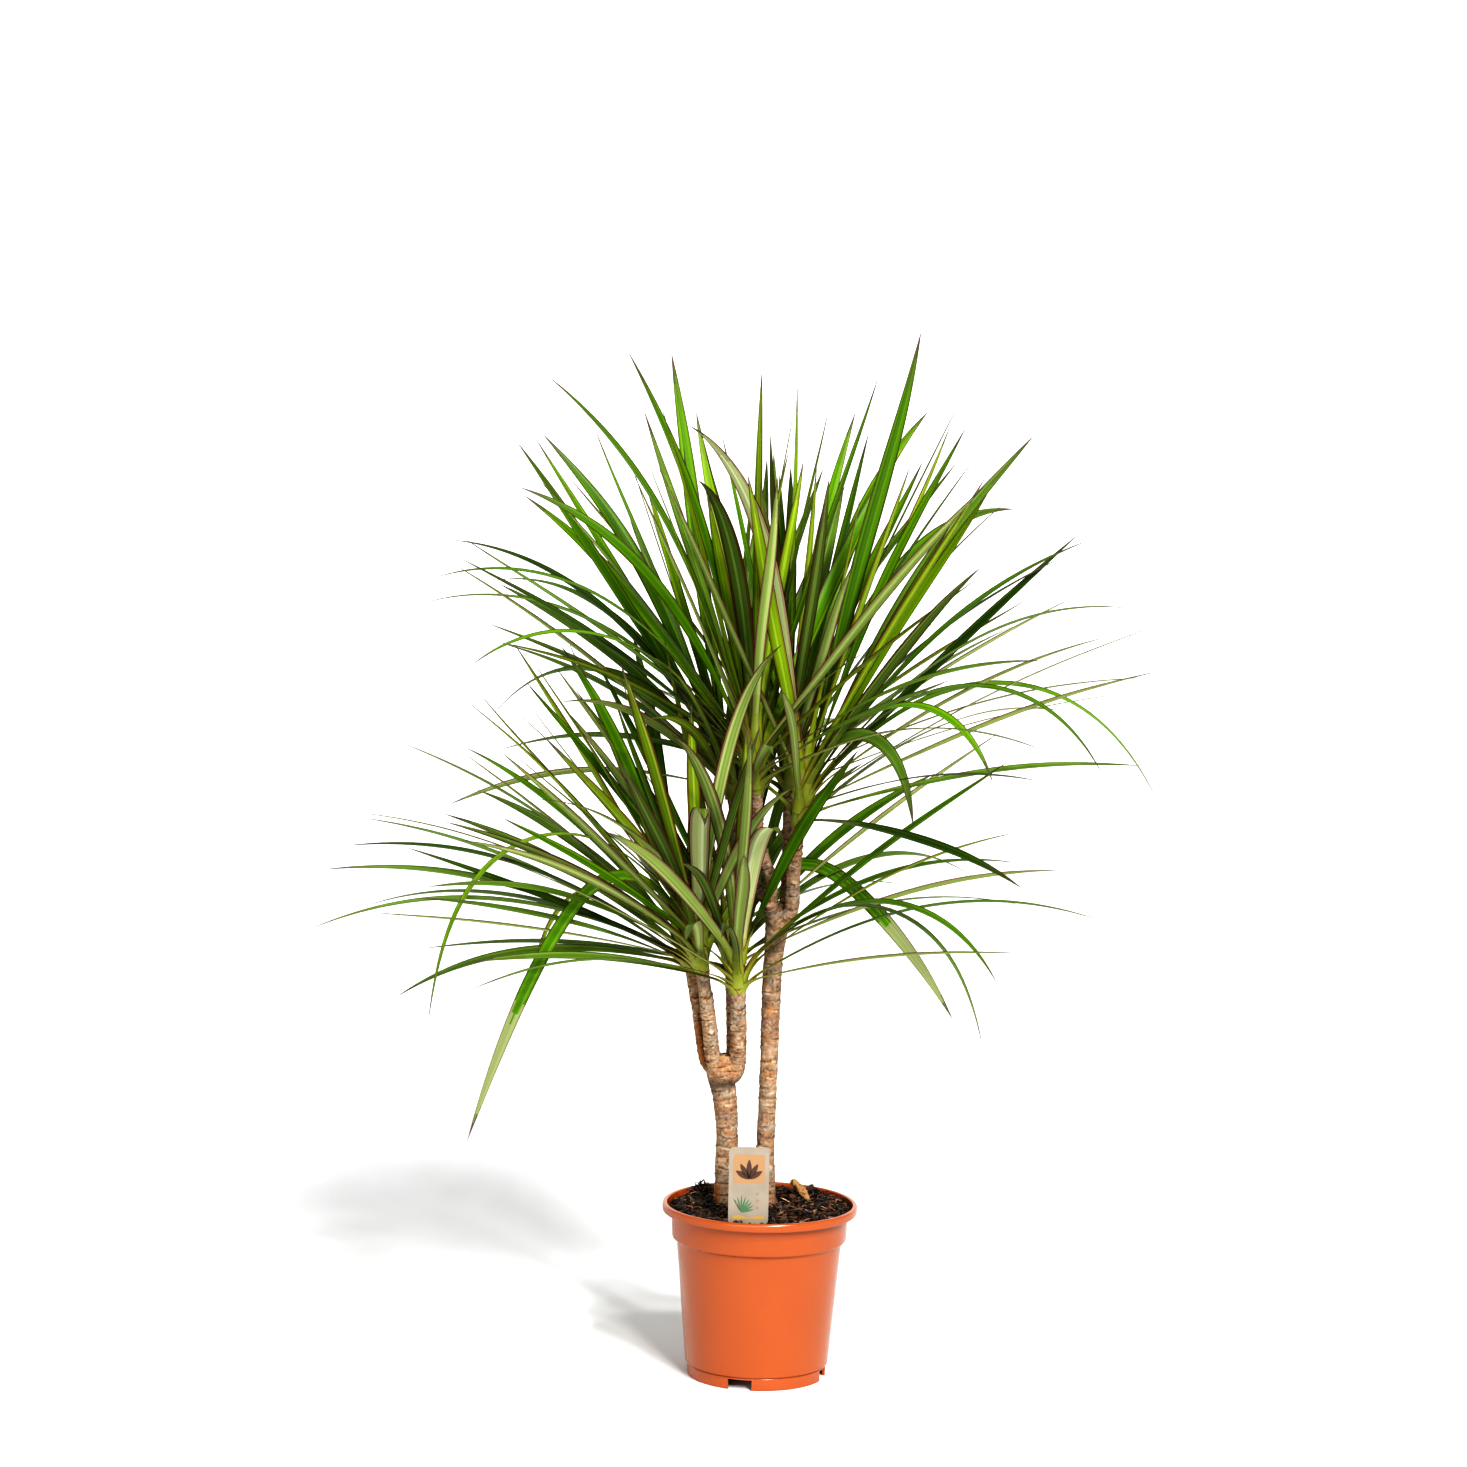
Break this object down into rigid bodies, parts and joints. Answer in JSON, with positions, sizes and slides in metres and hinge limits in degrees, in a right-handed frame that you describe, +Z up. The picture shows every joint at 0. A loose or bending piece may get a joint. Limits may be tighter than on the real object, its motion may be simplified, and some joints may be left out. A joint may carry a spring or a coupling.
{
  "type": "potted madagascar dragon tree",
  "caption": "Potted Madagascar dragon tree: forked woody canes with tapering boughs, each ending in a head of strap leaves, standing in a tapered nursery pot of soil with a plant label.",
  "frame": {"origin": "middle of the pot's flat underside, on the ground", "axes": "+Z up along the pot's axis; the picture looks along +Y with +X to the right"},
  "size_m": [0.729, 0.7323, 0.911],
  "materials": {
    "orange_plastic": "semi-gloss moulded orange plastic",
    "peat_soil": "moist dark peat with fibres and bark chips",
    "label_plastic": "thin cream plastic plant label with a plain printed leaf motif",
    "bark": "tan-grey cane bark with ring scars",
    "leaf_green": "smooth green strap leaves with thin dark red margins"
  },
  "bodies": {
    "root": {"pot": "orange_plastic", "soil": "peat_soil", "plant_label": "label_plastic", "cane_short": "bark", "cane_tall": "bark", "bough_low_front": "bark", "bough_low_right": "bark", "bough_low_left": "bark", "bough_low_back": "bark", "bough_high_front": "bark", "bough_high_right": "bark", "bough_high_back": "bark", "bough_high_left": "bark", "head_low_front": "leaf_green", "head_low_right": "leaf_green", "head_low_left": "leaf_green", "head_low_back": "leaf_green", "head_high_front": "leaf_green", "head_high_right": "leaf_green", "head_high_back": "leaf_green", "head_high_left": "leaf_green"}
  },
  "joints": []
}
